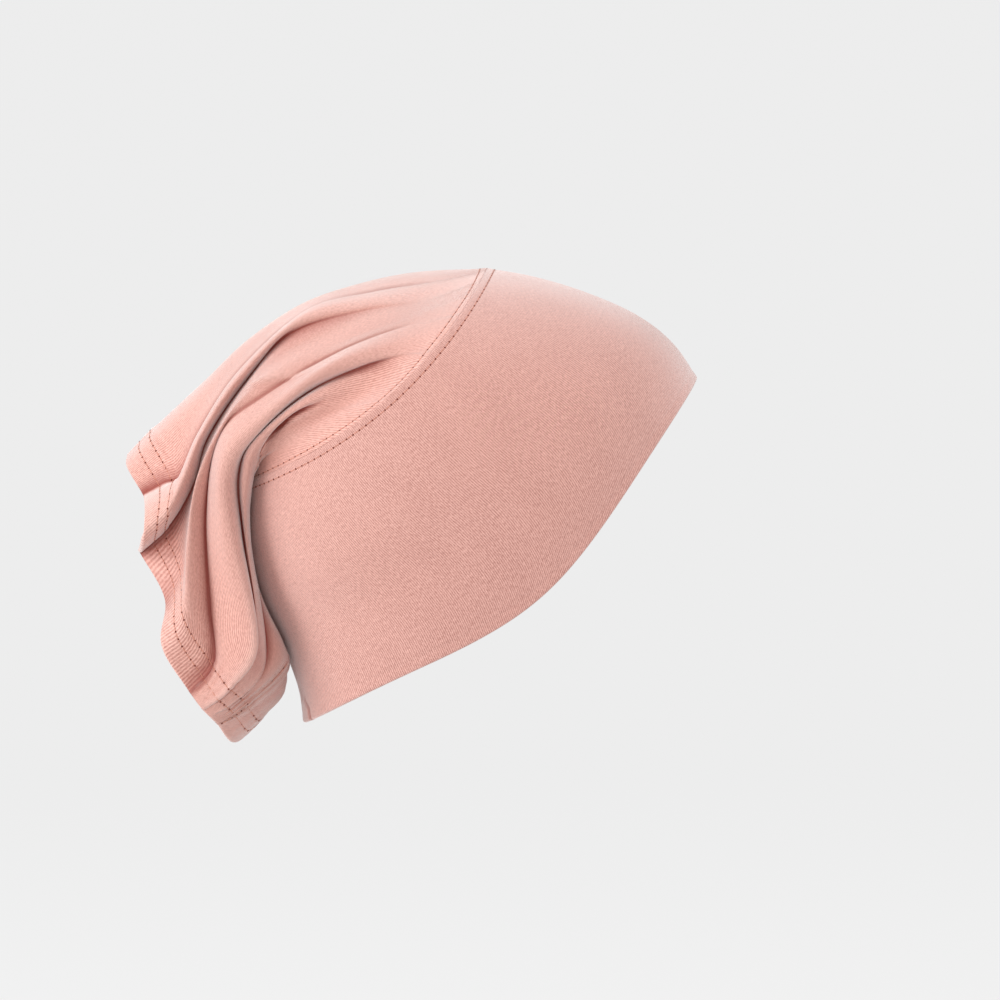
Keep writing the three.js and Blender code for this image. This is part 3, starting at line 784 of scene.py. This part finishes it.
# Painted highlight: the near-white that crests are paled towards.
PAINTED_HIGHLIGHT_PALE, PAINTED_HIGHLIGHT_BLEND = (255, 238, 230), 0.14
RELIEF_STRENGTH, RELIEF_HEIGHT, FIBRE_RELIEF = 0.5, 0.25, 0.2


def jersey(name, pale, deep):
    """Ribs sin(2 pi u / rib) that waver by a slow noise, fibre mottle, and a pale bloom at a slant."""
    material = bpy.data.materials.new(name)
    material.use_nodes = True
    tree = material.node_tree
    shader = tree.nodes["Principled BSDF"]
    shader.inputs["Roughness"].default_value = 0.5
    shader.inputs["Specular IOR Level"].default_value = 0.45
    shader.inputs["Sheen Roughness"].default_value = 0.5
    shader.inputs["Sheen Tint"].default_value = (1.0, 0.97, 0.96, 1)
    uv = tree.nodes.new("ShaderNodeUVMap")
    uv.uv_map = "cloth"
    split = tree.nodes.new("ShaderNodeSeparateXYZ")
    tree.links.new(uv.outputs[0], split.inputs[0])
    u, v = split.outputs[0], split.outputs[1]
    waver = cloth_noise(tree, u, v, 3.0, 12.0, 1)
    rib_turn = maths(tree, "ADD", scaled(tree, u, 2 * np.pi / (RIB * MM)), waver)
    rib = maths(tree, "SINE", rib_turn)
    course = maths(tree, "SINE", scaled(tree, v, 2 * np.pi / (COURSE * MM)))
    fibre = cloth_noise(tree, u, v, 0.5, 1.3, 1)
    fleck = cloth_noise(tree, u, v, 1.1, 2.6, 1)
    cloud = cloth_noise(tree, u, v, 14.0, 25.0, 2)
    knit = maths(tree, "ADD", scaled(tree, rib, RIB_SHARE), scaled(tree, course, COURSE_SHARE))
    mottle = maths(tree, "ADD", scaled(tree, fibre, FIBRE_SHARE), scaled(tree, fleck, FLECK_SHARE))
    level = maths(tree, "ADD", knit, maths(tree, "ADD", mottle, scaled(tree, cloud, CLOUD_SHARE)))
    share = maths(tree, "ADD", level, 0.5)
    yarn = mixed(tree, share, deep, pale)
    # The tuck attribute says where shade is painted (above zero) and where highlight is painted (below zero).
    tuck = tree.nodes.new("ShaderNodeAttribute")
    tuck.attribute_name = "tuck"
    # The painted shade's share, from the tuck number above zero.
    painted_shade_mask = clamped(tree, tuck.outputs["Fac"])
    # The painted highlight's share, from the tuck number below zero.
    crest = clamped(tree, scaled(tree, tuck.outputs["Fac"], -1.0))
    shaded = mixed(tree, scaled(tree, painted_shade_mask, PAINTED_SHADE_BLEND), yarn, linear(*PAINTED_SHADE_RED))
    lit = mixed(tree, scaled(tree, crest, PAINTED_HIGHLIGHT_BLEND), shaded, linear(*PAINTED_HIGHLIGHT_PALE))
    tree.links.new(lit, shader.inputs["Base Color"])
    # The painted shade also takes the sheen away.
    tree.links.new(maths(tree, "SUBTRACT", 1.0, painted_shade_mask), shader.inputs["Sheen Weight"])
    relief_node = tree.nodes.new("ShaderNodeBump")
    relief_node.inputs["Strength"].default_value = RELIEF_STRENGTH
    relief_node.inputs["Distance"].default_value = RELIEF_HEIGHT * MM
    height = maths(tree, "ADD", knit, scaled(tree, fibre, FIBRE_RELIEF))
    tree.links.new(height, relief_node.inputs["Height"])
    tree.links.new(relief_node.outputs[0], shader.inputs["Normal"])
    return material


def thread(name, colour, roughness):
    """A plain sewing thread, or the shade in a needle hole."""
    material = bpy.data.materials.new(name)
    material.use_nodes = True
    shader = material.node_tree.nodes["Principled BSDF"]
    shader.inputs["Base Color"].default_value = (*colour, 1)
    shader.inputs["Roughness"].default_value = roughness
    shader.inputs["Specular IOR Level"].default_value = 0.2
    return material


# %% Finishes
dusty_pink = jersey("dusty_pink_jersey", linear(229, 172, 159), linear(180, 120, 108))
warm_pink = jersey("warm_pink_jersey", linear(232, 173, 158), linear(187, 121, 107))
rust_thread = thread("rust_thread", linear(206, 140, 118), 0.7)
needle_hole_shade = thread("needle_hole_shade", linear(112, 50, 40), 1.0)
front_cloth.data.materials.append(dusty_pink)
back_cloth.data.materials.append(warm_pink)
for sewing in (seam_stitches, hem_stitches):
    sewing.data.materials.append(rust_thread)
    sewing.data.materials.append(needle_hole_shade)
print("finishes:", [finish.name for finish in (dusty_pink, warm_pink, rust_thread, needle_hole_shade)])

# %% [markdown]
# What each piece stands for
#
# The cloth takes the place of the plain solids, and the sewing rides with it.

# %% Riding, and hiding the plain solids
for piece in (back_cloth, front_cloth, seam_stitches, hem_stitches):
    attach(piece, "root")
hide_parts("back_tube", "tail_hem")
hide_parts("front_band")

# %% [markdown]
# Floor, light and camera
#
# The cap is seen against plain pale paper. The paper is a wide dish whose rim turns up far behind, so
# no horizon shows. It is hidden from diffuse rays, so it throws no soft light back on the cloth, and its
# tone can be set apart from the cap's. The room is bright and even, and four soft boxes give the folds
# their form: a strong one on the tail's side, a weak one in front, one above, and a low one for the nape
# and the tail. The camera looks at the wearer's right side from 1.6 m, where its view is 0.41 m wide.


# %% Paper floor
def dish(name, radii, heights, segments=96):
    """A lathed floor: places (r cos a, r sin a, h) for each radius and height."""
    turn = np.linspace(0, 2 * np.pi, segments, endpoint=False)
    tall = np.repeat(heights[:, None], segments, 1)
    ring = np.stack([np.outer(radii, np.cos(turn)), np.outer(radii, np.sin(turn)), tall], -1)
    i, j = np.mgrid[0:len(radii) - 1, 0:segments]
    k = (j + 1) % segments
    faces = np.stack([i * segments + j, (i + 1) * segments + j, (i + 1) * segments + k, i * segments + k], -1)
    return add_piece(name, ring.reshape(-1, 3) / MM, faces.reshape(-1, 4).tolist() + [list(range(segments))])


FLOOR_LEVEL, FLAT_RADIUS, BEND_RADIUS, RIM_HEIGHT = -0.3, 3, 2, 4.0
FLOOR_GLOW = 0.72
bend = np.linspace(0, np.pi / 2, 17)
bend_radii = FLAT_RADIUS + BEND_RADIUS * np.sin(bend)
bend_heights = FLOOR_LEVEL + BEND_RADIUS * (1 - np.cos(bend))
floor = dish("floor", np.concatenate([[0.5, 1.5, 2.5], bend_radii, [FLAT_RADIUS + BEND_RADIUS]]),
             np.concatenate([[FLOOR_LEVEL] * 3, bend_heights, [RIM_HEIGHT]]))
floor_paint = bpy.data.materials.new("pale_floor")
floor_paint.use_nodes = True
floor_shader = floor_paint.node_tree.nodes["Principled BSDF"]
floor_shader.inputs["Base Color"].default_value = (0.15, 0.15, 0.15, 1)
floor_shader.inputs["Roughness"].default_value = 1.0
floor_shader.inputs["Specular IOR Level"].default_value = 0.0
floor_shader.inputs["Emission Color"].default_value = (1, 1, 1, 1)
floor_shader.inputs["Emission Strength"].default_value = FLOOR_GLOW
floor.data.materials.append(floor_paint)
floor.visible_diffuse = False


# %% Soft boxes
def area_light(name, position, target, size, power):
    """A square soft box at a position, facing a target."""
    light = bpy.data.lights.new(name, "AREA")
    light.shape, light.size, light.energy = "SQUARE", size, power
    obj = bpy.data.objects.new(name, light)
    bpy.context.scene.collection.objects.link(obj)
    direction = np.array(position, float) - np.array(target, float)
    direction /= np.linalg.norm(direction)
    obj.rotation_euler = (0, np.arccos(direction[2]), np.arctan2(direction[1], direction[0]))
    obj.location = position


CENTRE = (0, 0.03, 0.02)
ROOM_LIGHT = 0.79
area_light("left", (-0.55, 1.6, 0.85), CENTRE, 0.9, 14)
area_light("right", (-0.6, -1.6, 0.5), CENTRE, 0.9, 6)
area_light("top", (-0.1, 0.1, 1.9), CENTRE, 1.0, 9)
area_light("left low", (-0.6, 0.95, -0.2), CENTRE, 0.5, 6)
world = bpy.data.worlds.new("studio")
bpy.context.scene.world = world
world.use_nodes = True
world.node_tree.nodes["Background"].inputs[0].default_value = (1, 1, 1, 1)
world.node_tree.nodes["Background"].inputs[1].default_value = ROOM_LIGHT
bpy.context.scene.view_settings.view_transform = "Standard"
print("soft boxes:", len(bpy.data.lights))

# %% Camera
VIEW_DISTANCE, VIEW_WIDTH, SENSOR = 1.6, 0.41, 36.0
VIEW_CENTRE = (0.0004, 0.0205)
camera_data = bpy.data.cameras.new("camera")
camera_data.sensor_width = SENSOR
camera_data.lens = SENSOR * VIEW_DISTANCE / VIEW_WIDTH
camera = bpy.data.objects.new("camera", camera_data)
camera.location = (-VIEW_DISTANCE, *VIEW_CENTRE)
camera.rotation_euler = (np.pi / 2, 0, -np.pi / 2)
bpy.context.scene.collection.objects.link(camera)
bpy.context.scene.camera = camera
print("lens mm:", round(camera_data.lens, 1))
